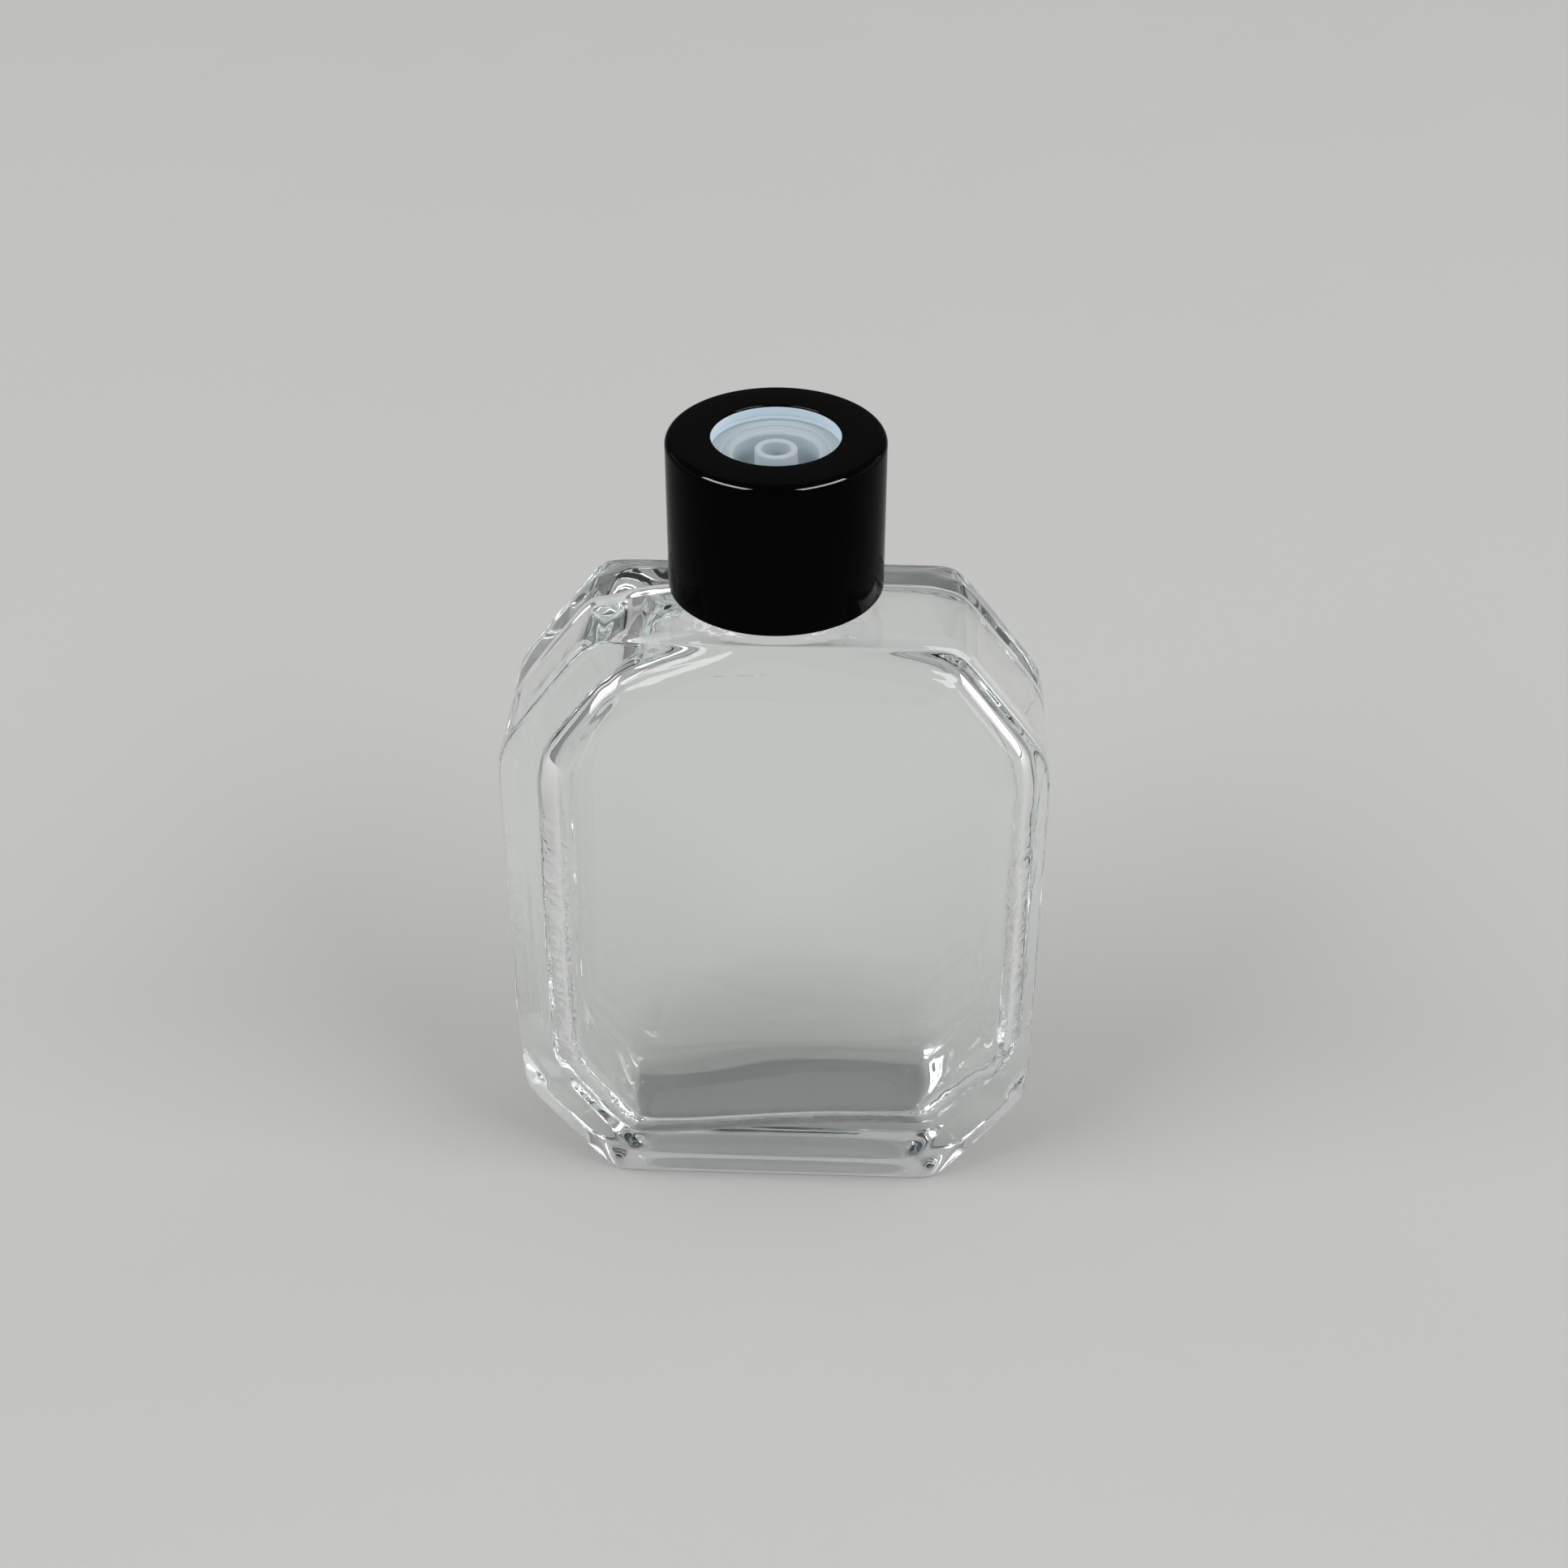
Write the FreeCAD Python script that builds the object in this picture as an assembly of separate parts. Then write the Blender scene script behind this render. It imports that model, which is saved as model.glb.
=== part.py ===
"""Aftershave bottle: a faceted flask of thick clear glass with a screwed-on
collar and a pouring insert.

Frame: millimetres, +Z up, -Y is the front. The origin is the middle of the
base, on the surface that the bottle stands on.

Pieces: glass_bottle, dispenser_insert, sealing_washer, collar_liner,
collar_shell. Each is one solid at its place in the closed bottle.
"""
import FreeCAD, Part
import math
import os

Vector = FreeCAD.Vector

# Glass body: an octagon seen from the front, bevelled towards both faces
body_width = 71.0
body_height = 89.8
girdle_depth = 21.0
bevel_depth = 2.9
bevel_width = 6.6
corner_cut_width = 12.4
corner_cut_height = 16.4
edge_radius = 0.7

# Chamber: glass left between the outside and the space for the liquid
side_wall = 4.1
upper_slant_wall = 4.7
lower_slant_wall = 5.9
front_wall = 3.8
shoulder_wall = 5.0
base_thickness = 8.0
roof_rise = 2.6
chamber_corner_radius = 9.0
chamber_edge_radius = 4.5

# Shallow hollow under the base, which leaves a rim to stand on
base_rim = 3.0
base_hollow_height = 0.5
base_hollow_slope_width = 2.5

# Neck
neck_diameter = 19.6
neck_bore = 13.0
neck_root_radius = 0.2
lip_height_over_shoulder = 20.6
lip_radius = 0.8
throat_length = 8.3
throat_width = 27.0
throat_depth = 16.8
throat_waist = 0.3

# Collar: a thin metal shell over a moulded liner that carries the thread
collar_height = 20.4
liner_wall = 2.1
shell_wall = 0.35
shell_top_thickness = 0.3
shell_top_radius = 1.0
mouth_margin = 1.5
mouth_edge_radius = 0.12
liner_flange_thickness = 1.2
liner_setback = 0.5
liner_lead_in = 0.6
thread_height = 1.05
thread_clearance = 0.25
shell_clearance = 0.05

# Washer that seals the liner on the insert
washer_thickness = 0.6
washer_clearance = 0.15

# Pouring insert: a flange on the lip, a plug in the bore and a spout
insert_flange_thickness = 1.1
insert_flange_setback = 0.2
insert_ledge_width = 1.41
insert_step_depth = 0.3
plug_length = 10.0
plug_wall = 1.15
plug_clearance = 0.06
plug_rib_grip = 0.05
plug_rib_height = 0.9
plug_rib_places = (2.6, 6.0)
plug_lead_in = 0.5
well_depth = 4.2
well_floor_thickness = 1.0
well_edge_radius = 0.45
spout_diameter = 5.3
spout_bore = 3.6
spout_rise = 0.3
spout_tail = 2.4

# Heights that follow from the sizes above
shoulder_z = body_height
lip_z = shoulder_z + lip_height_over_shoulder
insert_top_z = lip_z + insert_flange_thickness
washer_top_z = insert_top_z + washer_thickness
liner_top_z = washer_top_z + liner_flange_thickness
collar_top_z = liner_top_z + shell_top_thickness
collar_bottom_z = collar_top_z - collar_height

# Radii that follow from the sizes above
neck_radius = neck_diameter / 2
bore_radius = neck_bore / 2
mouth_radius = bore_radius + mouth_margin
liner_bore_radius = neck_radius + thread_height + thread_clearance
liner_outer_radius = liner_bore_radius + liner_wall
shell_inner_radius = liner_outer_radius + shell_clearance
shell_outer_radius = shell_inner_radius + shell_wall
shell_bend_radius = shell_top_radius - shell_wall

# How far one solid runs into the next before the two are joined or cut
overlap = 1.0


def inset_half(y, side=0.0, top=0.0, bottom=0.0, upper_slant=0.0, lower_slant=0.0):
    """The right half of the body's front outline at depth y, from the bottom upwards.

    Each edge is moved inwards by its own distance.
    """
    half_width = body_width / 2
    slant_length = math.hypot(corner_cut_width, corner_cut_height)

    def half_end(edge_inset, slant):
        grown = corner_cut_width * edge_inset - slant * slant_length
        return half_width - corner_cut_width + grown / corner_cut_height

    def side_end(slant):
        shift = (corner_cut_height * side - slant * slant_length) / corner_cut_width
        return corner_cut_height - shift

    side_x = half_width - side
    return [
        Vector(half_end(bottom, lower_slant), y, bottom),
        Vector(side_x, y, side_end(lower_slant)),
        Vector(side_x, y, body_height - side_end(upper_slant)),
        Vector(half_end(top, upper_slant), y, body_height - top),
    ]


def both_halves(right_half):
    """A half outline followed by its mirror image across the middle."""
    return right_half + [Vector(-point.x, point.y, point.z) for point in reversed(right_half)]


def closed_wire(points):
    return Part.makePolygon(points + points[:1])


def revolved(profile):
    """A full turn about Z of a closed wire in the XZ plane."""
    return Part.Face(profile).revolve(Vector(0, 0, 0), Vector(0, 0, 1), 360)


def ring_profile(points):
    """A closed wire of straight edges through (radius, height) pairs."""
    return closed_wire([Vector(radius, 0, height) for radius, height in points])


def circular_edges(shape, radius, height):
    """The circular edges about Z with this radius at this height."""
    found = []
    for edge in shape.Edges:
        if edge.Degenerated or not isinstance(edge.Curve, Part.Circle):
            continue
        curve = edge.Curve
        if abs(curve.Radius - radius) < 1e-6 and abs(curve.Center.z - height) < 1e-6:
            found.append(edge)
    return found


def faceted_body():
    """A straight girdle with a bevelled slab on its front and on its back."""
    girdle_y = girdle_depth / 2
    face_y = girdle_y + bevel_depth

    def octagon(y, inset):
        return closed_wire(both_halves(inset_half(y, inset, inset, inset, inset, inset)))

    body = Part.Face(octagon(-girdle_y, 0.0)).extrude(Vector(0, girdle_depth, 0))
    for direction in (-1, 1):
        outline = octagon(direction * girdle_y, 0.0)
        face = octagon(direction * face_y, bevel_width)
        body = body.fuse(Part.makeLoft([outline, face], True, True))
    body = body.removeSplitter()
    return body.makeFillet(edge_radius, body.Edges)


def neck():
    """A plain neck on a flared root that runs down into the shoulder."""
    root_radius = neck_radius + neck_root_radius
    root_top_z = shoulder_z + neck_root_radius
    sunk_z = shoulder_z - bevel_width
    flare_middle = neck_root_radius * (1 - math.sqrt(0.5))
    lip_middle = lip_radius * (1 - math.sqrt(0.5))
    flare = Part.Arc(
        Vector(root_radius, 0, shoulder_z),
        Vector(neck_radius + flare_middle, 0, shoulder_z + flare_middle),
        Vector(neck_radius, 0, root_top_z),
    )
    lip = Part.Arc(
        Vector(neck_radius, 0, lip_z - lip_radius),
        Vector(neck_radius - lip_middle, 0, lip_z - lip_middle),
        Vector(neck_radius - lip_radius, 0, lip_z),
    )
    corners = [
        Vector(neck_radius - lip_radius, 0, lip_z),
        Vector(0, 0, lip_z),
        Vector(0, 0, sunk_z),
        Vector(root_radius, 0, sunk_z),
        Vector(root_radius, 0, shoulder_z),
    ]
    straight = [Part.LineSegment(a, b).toShape() for a, b in zip(corners, corners[1:])]
    side = Part.LineSegment(
        Vector(neck_radius, 0, root_top_z), Vector(neck_radius, 0, lip_z - lip_radius)
    )
    edges = straight + [flare.toShape(), side.toShape(), lip.toShape()]
    return revolved(Part.Wire(edges))


def chamber():
    """The space for the liquid: a soft-cornered outline, a throat and the neck's bore.

    The outline is the body's octagon moved inwards, under a roof that rises to the neck.
    """
    depth = girdle_depth + 2 * bevel_depth - 2 * front_wall
    half_outline = inset_half(
        -depth / 2, side_wall, shoulder_wall, base_thickness, upper_slant_wall, lower_slant_wall
    )
    ridge_z = shoulder_z - shoulder_wall + roof_rise
    half_outline.append(Vector(neck_radius, -depth / 2, ridge_z))
    outline = closed_wire(both_halves(half_outline))
    block = Part.Face(outline).extrude(Vector(0, depth, 0))
    corners = [
        edge for edge in block.Edges if edge.BoundBox.YLength > depth - overlap
    ]
    rounded = block.makeFillet(chamber_corner_radius, corners)
    rims = [edge for edge in rounded.Edges if edge.BoundBox.YLength < overlap]
    hollow = rounded.makeFillet(chamber_edge_radius, rims)

    throat_top_z = shoulder_z + overlap
    throat_bottom_z = throat_top_z - throat_length
    middle_z = (throat_top_z + throat_bottom_z) / 2
    upright = Vector(0, 0, 1)
    top_ring = Part.Circle(Vector(0, 0, throat_top_z), upright, bore_radius)
    middle_ring = Part.Ellipse(
        Vector(0, 0, middle_z),
        bore_radius + throat_waist * (throat_width / 2 - bore_radius),
        bore_radius + throat_waist * (throat_depth / 2 - bore_radius),
    )
    bottom_ring = Part.Ellipse(Vector(0, 0, throat_bottom_z), throat_width / 2, throat_depth / 2)
    rings = [Part.Wire(ring.toShape()) for ring in (bottom_ring, middle_ring, top_ring)]
    throat = Part.makeLoft(rings, True, False)

    bore_bottom_z = throat_top_z - overlap
    bore = Part.makeCylinder(
        bore_radius, lip_z + overlap - bore_bottom_z, Vector(0, 0, bore_bottom_z)
    )
    return hollow.fuse([throat, bore])


def base_hollow():
    """A shallow pocket with sloping sides under the base."""
    half_x = body_width / 2 - corner_cut_width - base_rim
    half_y = girdle_depth / 2 - base_rim

    def rectangle(inset, z):
        x = half_x - inset
        y = half_y - inset
        return closed_wire([Vector(-x, -y, z), Vector(x, -y, z), Vector(x, y, z), Vector(-x, y, z)])

    slope = base_hollow_slope_width / base_hollow_height
    mouth = rectangle(-slope * overlap, -overlap)
    roof = rectangle(base_hollow_slope_width, base_hollow_height)
    return Part.makeLoft([mouth, roof], True, True)


def glass_bottle():
    outside = faceted_body().fuse(neck()).removeSplitter()
    bottle = outside.cut(chamber()).cut(base_hollow())
    mouth_edge = circular_edges(bottle, bore_radius, lip_z)
    return bottle.makeFillet(lip_radius, mouth_edge)


def dispenser_insert():
    """A flange, a well and a plug with two gripping ribs, and the open spout in the middle."""
    flange_radius = neck_radius - insert_flange_setback
    plug_radius = bore_radius - plug_clearance
    well_radius = plug_radius - plug_wall
    step_radius = well_radius + insert_ledge_width
    step_z = insert_top_z - insert_step_depth
    well_z = step_z - well_depth
    plug_end_z = lip_z - plug_length
    spout_radius = spout_diameter / 2
    spout_bore_radius = spout_bore / 2
    spout_top_z = insert_top_z + spout_rise
    floor_z = well_z - well_floor_thickness
    rib_radius = bore_radius + plug_rib_grip

    outside = [(flange_radius, insert_top_z), (flange_radius, lip_z), (plug_radius, lip_z)]
    for place in plug_rib_places:
        rib_z = lip_z - place
        outside.append((plug_radius, rib_z + plug_rib_height / 2))
        outside.append((rib_radius, rib_z))
        outside.append((plug_radius, rib_z - plug_rib_height / 2))
    outside.append((plug_radius, plug_end_z + plug_lead_in))
    outside.append((plug_radius - plug_lead_in, plug_end_z))
    inside = [
        (well_radius, plug_end_z),
        (well_radius, floor_z),
        (spout_radius, floor_z),
        (spout_radius, floor_z - spout_tail),
        (spout_bore_radius, floor_z - spout_tail),
        (spout_bore_radius, spout_top_z),
        (spout_radius, spout_top_z),
        (spout_radius, well_z),
        (well_radius, well_z),
        (well_radius, step_z),
        (step_radius, step_z),
        (step_radius, insert_top_z),
    ]
    insert = revolved(ring_profile(outside + inside))
    well_edge = circular_edges(insert, well_radius, step_z)
    return insert.makeFillet(well_edge_radius, well_edge)


def sealing_washer():
    outer_radius = liner_bore_radius - washer_clearance
    return revolved(ring_profile([
        (mouth_radius, insert_top_z),
        (outer_radius, insert_top_z),
        (outer_radius, washer_top_z),
        (mouth_radius, washer_top_z),
    ]))


def collar_liner():
    """A skirt with a plain bore, where the thread runs, under an inward flange."""
    bottom_z = collar_bottom_z + liner_setback
    liner = revolved(ring_profile([
        (mouth_radius, liner_top_z),
        (liner_outer_radius, liner_top_z),
        (liner_outer_radius, bottom_z),
        (liner_bore_radius + liner_lead_in, bottom_z),
        (liner_bore_radius, bottom_z + liner_lead_in),
        (liner_bore_radius, washer_top_z),
        (mouth_radius, washer_top_z),
    ]))
    return liner.makeFillet(
        shell_bend_radius, circular_edges(liner, liner_outer_radius, liner_top_z)
    )


def collar_shell():
    """A drawn cup with a round mouth in its top, bent in one thickness over the liner."""
    shell = revolved(ring_profile([
        (mouth_radius, collar_top_z),
        (shell_outer_radius, collar_top_z),
        (shell_outer_radius, collar_bottom_z),
        (shell_inner_radius, collar_bottom_z),
        (shell_inner_radius, liner_top_z),
        (mouth_radius, liner_top_z),
    ]))
    shell = shell.makeFillet(
        shell_top_radius, circular_edges(shell, shell_outer_radius, collar_top_z)
    )
    shell = shell.makeFillet(
        shell_bend_radius, circular_edges(shell, shell_inner_radius, liner_top_z)
    )
    return shell.makeFillet(
        mouth_edge_radius, circular_edges(shell, mouth_radius, collar_top_z)
    )


PIECES = (glass_bottle, dispenser_insert, sealing_washer, collar_liner, collar_shell)

os.makedirs("parts", exist_ok=True)
for make_piece in PIECES:
    solid = make_piece()
    name = make_piece.__name__
    solid.exportStep(os.path.join("parts", name + ".step"))
    box = solid.BoundBox
    print(
        name, solid.ShapeType, len(solid.Solids), "valid", solid.isValid(),
        "volume cm3", round(solid.Volume / 1000, 2),
        "z", round(box.ZMin, 2), round(box.ZMax, 2),
    )
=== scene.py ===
"""Looks of the aftershave bottle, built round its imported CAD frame.

All shapes are worked out in millimetres as whole arrays and put into meshes in
metres. The glass is one closed skin: its outside, its lip and its chamber.
"""
import math

import bpy
import numpy as np
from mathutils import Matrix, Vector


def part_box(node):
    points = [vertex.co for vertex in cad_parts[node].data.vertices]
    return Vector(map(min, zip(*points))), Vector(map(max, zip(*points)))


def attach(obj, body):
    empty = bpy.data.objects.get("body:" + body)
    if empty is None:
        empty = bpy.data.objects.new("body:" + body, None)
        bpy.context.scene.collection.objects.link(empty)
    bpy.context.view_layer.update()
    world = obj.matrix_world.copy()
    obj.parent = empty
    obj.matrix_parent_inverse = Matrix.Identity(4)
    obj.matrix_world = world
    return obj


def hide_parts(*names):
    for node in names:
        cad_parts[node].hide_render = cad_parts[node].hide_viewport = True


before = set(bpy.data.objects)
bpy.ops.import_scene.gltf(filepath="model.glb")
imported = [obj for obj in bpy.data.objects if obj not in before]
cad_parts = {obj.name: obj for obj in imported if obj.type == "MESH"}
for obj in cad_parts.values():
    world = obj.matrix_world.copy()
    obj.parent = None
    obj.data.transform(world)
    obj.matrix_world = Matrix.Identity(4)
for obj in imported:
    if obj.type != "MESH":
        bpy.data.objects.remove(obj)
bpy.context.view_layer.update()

MM = 0.001
TURN = 2 * math.pi


def node_box(node):
    """Lowest and highest corner of a CAD node, in millimetres."""
    low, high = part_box(node)
    return np.array(low) / MM, np.array(high) / MM


GLASS_HIGH = node_box("glass_bottle")[1]
INSERT_LOW, INSERT_HIGH = node_box("dispenser_insert")
WASHER_LOW, WASHER_HIGH = node_box("sealing_washer")
LINER_LOW, LINER_HIGH = node_box("collar_liner")
SHELL_LOW, SHELL_HIGH = node_box("collar_shell")

# Glass body
HALF_WIDTH = GLASS_HIGH[0]
FACE_Y = GLASS_HIGH[1]
LIP_Z = GLASS_HIGH[2]
SHOULDER_Z = 89.8
BEVEL_DEPTH = 2.9
BEVEL_WIDTH = 6.6
GIRDLE_Y = FACE_Y - BEVEL_DEPTH
CUT_WIDTH = 12.4
CUT_HEIGHT = 16.4
EDGE_SOFTNESS = 0.16
CORNER_SOFTNESS = 0.9
BASE_HOLLOW = 0.5
HOLLOW_HALF_X = 20.0
HOLLOW_HALF_Y = 7.5
SOLE_Z = 0.05

# Glass mesh: width of the crowded zones along its edges, rows between the zones and up the
# neck, and the number of slides onto the solid
OUTER_ZONE = 1.6
ROOM_ZONE = 5.0
CLIMB_ZONE = 0.2
SIDE_ROWS = 54, 16, 34, 16, 54, 16, 34, 16
FACE_EYE = 0.04
FACE_ROWS = 14
BEVEL_ROWS = 3
GIRDLE_ROWS = 10
CLIMB_ROWS = 8
OUTER_NECK_ROWS = 70
ROOM_NECK_ROWS = 16
LIP_STEPS = 7
SLIDES = 20

# Glass left round the chamber, which sits a little to the right as blown
RIGHT_WALL = 2.6
LEFT_WALL = 5.8
UPPER_RIGHT_WALL = 2.9
UPPER_LEFT_WALL = 6.4
LOWER_RIGHT_WALL = 6.0
LOWER_LEFT_WALL = 5.8
BASE_WALL = 7.8
BASE_TILT = 0.06
FACE_WALL = 3.8

# The chamber's roof rises from the left and falls to the right of the neck
ROOF_LEFT_Z = 90.6
ROOF_LEFT_RISE = 0.35
ROOF_RIGHT_Z = 89.5
ROOF_RIGHT_RISE = -0.15

# The chamber's rounds, other ones below the neck and along the floor, and its unevenness
ROOM_EDGE_RADIUS = 4.2
ROOM_NECK_RADIUS = 1.6
FRONT_HEEL_RADIUS = 6.2
BACK_HEEL_RADIUS = 1.8
HEEL_TOP_Z = 24.0
HEEL_FADE = 8.0
ROOM_SOFTNESS = 0.8
ROOM_WAVE = 0.16
ROOM_RIPPLE = 0.05
RIPPLE_TOP_Z = 80.0
RIPPLE_FADE = 12.0
FLOOR_WAVE = 0.45

# Short relief in the looks of the side walls: its height as a multiple of the slow one's,
# the share of it that the outside has, and the height where it ends
SHORT_RELIEF = 30.0
OUTER_RELIEF = 0.05
RELIEF_TOP_Z = 68.0
RELIEF_FADE = 12.0

# Neck
NECK_RADIUS = 9.8
BORE_RADIUS = 6.5
LIP_RADIUS = 0.8
ROOT_BLEND = 0.3
THROAT_BLEND = 1.6
FUNNEL_TOP_Z = 96.0
FUNNEL_LENGTH = 14.0
FUNNEL_SPREAD = 0.62, 0.167

# The chamber's front and back lean in below the neck, as the bevel outside does
LEAN = 3.0
LEAN_START_Z = 79.0
LEAN_LENGTH = 16.0
LEAN_REACH = 26.0
LEAN_FADE = 16.0

# Thread of neck and liner, which gains its height within 1 / THREAD_ENTRY of a turn
THREAD_PITCH = 3.175
THREAD_TURNS = 1.5
THREAD_HEIGHT = 1.0
THREAD_WIDTH = 1.5
THREAD_START_Z = 99.0
THREAD_ENTRY = 6

# Collar
SHELL_RADIUS = SHELL_HIGH[0]
SHELL_WALL = 0.35
SHELL_TOP = SHELL_HIGH[2] - LINER_HIGH[2]
MOUTH_RADIUS = 8.0
LINER_RADIUS = LINER_HIGH[0]
LINER_BORE = 11.1

# Points round the turned pieces, and the longest mesh edge along the liner
SHELL_AROUND = 224
LINER_AROUND = 144
RING_AROUND = 160
LINER_STEP = 0.35

# Pouring insert
FLANGE_RADIUS = INSERT_HIGH[0]
FLANGE_TOP_Z = WASHER_LOW[2]
STEP_RADIUS = 6.7
STEP_Z = FLANGE_TOP_Z - 0.3
WELL_RADIUS = 5.29
WELL_Z = STEP_Z - 4.2
PLUG_RADIUS = 6.44
WELL_FLOOR = 1.0
SPOUT_RADIUS = 2.65
SPOUT_BORE = 1.8
SPOUT_TAIL = 2.4
PLUG_CHAMFER = 0.5
RIB_DROP = 2.6
RIB_HALF = 0.45
RIB_GRIP = 0.05
RIB_PITCH = 3.4


# Meshes

def make_object(name, points, faces, material, body, node):
    """A smooth mesh object from points in millimetres and arrays of face corners."""
    mesh = bpy.data.meshes.new(name)
    corners = [row for group in faces for row in group.tolist()]
    mesh.from_pydata((points * MM).tolist(), [], corners)
    mesh.validate()
    mesh.polygons.foreach_set("use_smooth", np.ones(len(mesh.polygons), bool))
    mesh.update()
    piece = bpy.data.objects.new(name, mesh)
    bpy.context.scene.collection.objects.link(piece)
    mesh.materials.append(material)
    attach(piece, body)
    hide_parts(node)
    return piece


def strip(rows):
    """Quads between neighbouring rows of vertex numbers; every row is a closed ring."""
    here, there = rows[:-1], rows[1:]
    quads = [here, np.roll(here, -1, 1), np.roll(there, -1, 1), there]
    return np.stack(quads, -1).reshape(-1, 4)


def edge_knots(length, zone, middle):
    """Places along a line from 0 to 1, crowded within a zone of each end."""
    near = min(zone / length, 0.4) * np.array([0.0, 0.1, 0.2, 0.33, 0.5, 0.75, 1.0])
    inner = np.linspace(near[-1], 1 - near[-1], middle + 2)[1:-1]
    return np.concatenate([near, inner, 1 - near[::-1]])


# The faceted flask

def body_outline():
    """Outward normals (x, z) and distances of the eight sides of the front outline,
    clockwise from the top."""
    slope = math.hypot(CUT_WIDTH, CUT_HEIGHT)
    out, up = CUT_HEIGHT / slope, CUT_WIDTH / slope
    right = [[0, 1], [out, up], [1, 0], [out, -up]]
    left = [[0, -1], [-out, -up], [-1, 0], [-out, up]]
    normals = np.array(right + left)
    upper = out * HALF_WIDTH + up * (SHOULDER_Z - CUT_HEIGHT)
    lower = out * HALF_WIDTH - up * CUT_HEIGHT
    reaches = np.array([SHOULDER_Z, upper, HALF_WIDTH, lower, 0, lower, HALF_WIDTH, upper])
    return normals, reaches


def room_outline():
    """The chamber's nine sides in the same form: both slopes of its roof, then clockwise."""
    normals, reaches = body_outline()
    right_walls = [UPPER_RIGHT_WALL, RIGHT_WALL, LOWER_RIGHT_WALL]
    left_walls = [LOWER_LEFT_WALL, LEFT_WALL, UPPER_LEFT_WALL]
    reaches = reaches - [0, *right_walls, 0, *left_walls]
    normals[4] = BASE_TILT, -1
    reaches[4] = -BASE_WALL
    roof = np.array([[-ROOF_LEFT_RISE, 1], [-ROOF_RIGHT_RISE, 1]])
    normals = np.concatenate([roof, normals[1:]])
    reaches = np.concatenate([[ROOF_LEFT_Z, ROOF_RIGHT_Z], reaches[1:]])
    length = np.linalg.norm(normals, axis=1)
    return normals / length[:, None], reaches / length


def outline_corners(normals, reaches):
    """Corners (x, z): every side crossed with the side before it."""
    lines = np.stack([np.roll(normals, 1, 0), normals], 1)
    ends = np.stack([np.roll(reaches, 1), reaches], 1)
    return np.linalg.solve(lines, ends[..., None])[..., 0]


def upright(normals):
    """Normals (x, z) as normals in space."""
    return np.stack([normals[:, 0], np.zeros(len(normals)), normals[:, 1]], 1)


def soft_max(heights, softness):
    """The soft maximum of each row, a logarithm of summed exponentials, and the share of
    every column in it."""
    top = heights.max(1, keepdims=True)
    weights = np.exp((heights - top) / softness)
    total = weights.sum(1, keepdims=True)
    return (top + softness * np.log(total))[:, 0], weights / total


def cut_body(points):
    """Height above the outside, and its slope: the soft maximum of the rounded outline, the
    eight bevels on each face, which lean from the side towards the face, and both faces."""
    normals, reaches = body_outline()
    around, share = soft_max(points[:, [0, 2]] @ normals.T - reaches, CORNER_SOFTNESS)
    bevel_length = math.hypot(BEVEL_DEPTH, BEVEL_WIDTH)
    lean_side, lean_face = BEVEL_DEPTH / bevel_length, BEVEL_WIDTH / bevel_length
    facets, limits = [], []
    for front in (-1.0, 1.0):
        face = np.array([[0.0, front, 0.0]])
        facets += [lean_side * upright(normals) + lean_face * face, face]
        limits += [lean_side * reaches + lean_face * GIRDLE_Y, [FACE_Y]]
    facets, limits = np.concatenate(facets), np.concatenate(limits)
    heights = np.column_stack([around, points @ facets.T - limits])
    height, part = soft_max(heights, EDGE_SOFTNESS)
    return height, part[:, :1] * (share @ upright(normals)) + part[:, 1:] @ facets


def blown_room(points):
    """Height above the chamber, and its slope: a rounded outline that turns into the front
    and back walls through a round, with slow waves and short ripples. Below the neck the
    walls lean in and the round is smaller. Along the uneven floor it is wide in front and
    tight at the back."""
    normals, reaches = room_outline()
    around, share = soft_max(points[:, [0, 2]] @ normals.T - reaches, ROOM_SOFTNESS)
    y = points[:, 1]
    side_slope = share @ upright(normals)
    face_slope = np.sign(y)[:, None] * [0.0, 1.0, 0.0]
    neck = below_neck(points)
    heel = ease((HEEL_TOP_Z - points[:, 2]) / HEEL_FADE)
    radius = ROOM_EDGE_RADIUS + (ROOM_NECK_RADIUS - ROOM_EDGE_RADIUS) * neck
    radius = radius + (np.where(y > 0, BACK_HEEL_RADIUS, FRONT_HEEL_RADIUS) - radius) * heel
    over_side = around + radius
    over_face = np.abs(y) - (FACE_Y - FACE_WALL) + LEAN * neck + radius
    side, face = np.maximum(over_side, 0), np.maximum(over_face, 0)
    corner = np.hypot(side, face)
    height = np.minimum(np.maximum(over_side, over_face), 0) + corner - radius
    safe_corner = np.maximum(corner, 1e-9)
    bent = (side[:, None] * side_slope + face[:, None] * face_slope) / safe_corner[:, None]
    inside = np.where((over_side > over_face)[:, None], side_slope, face_slope)
    slope = np.where((corner > 0)[:, None], bent, inside)
    wall = side / safe_corner * lower_part(points)
    wave = ROOM_WAVE * gentle_wave(points) + ROOM_RIPPLE * wall * short_wave(points)
    sag = FLOOR_WAVE * floor_wave(points) * heel
    return height + wave + sag, slope


def soft_union(height_a, slope_a, height_b, slope_b, blend):
    """The lower of two heights with a round fillet where they meet."""
    near = np.clip(1 - np.abs(height_a - height_b) / blend, 0, None)
    share = np.where(height_a < height_b, 1 - near / 2, near / 2)[:, None]
    height = np.minimum(height_a, height_b) - near ** 2 * blend / 4
    return height, share * slope_a + (1 - share) * slope_b


def ease(share):
    """A share clipped to 0 and 1, with an even start and end."""
    share = np.clip(share, 0, 1)
    return share * share * (3 - 2 * share)


def below_neck(points):
    """0 in the straight part of the flask, rising to 1 below the neck and fading sideways."""
    climb = ease((points[:, 2] - LEAN_START_Z) / LEAN_LENGTH)
    return climb * ease((LEAN_REACH - np.abs(points[:, 0])) / LEAN_FADE)


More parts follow.
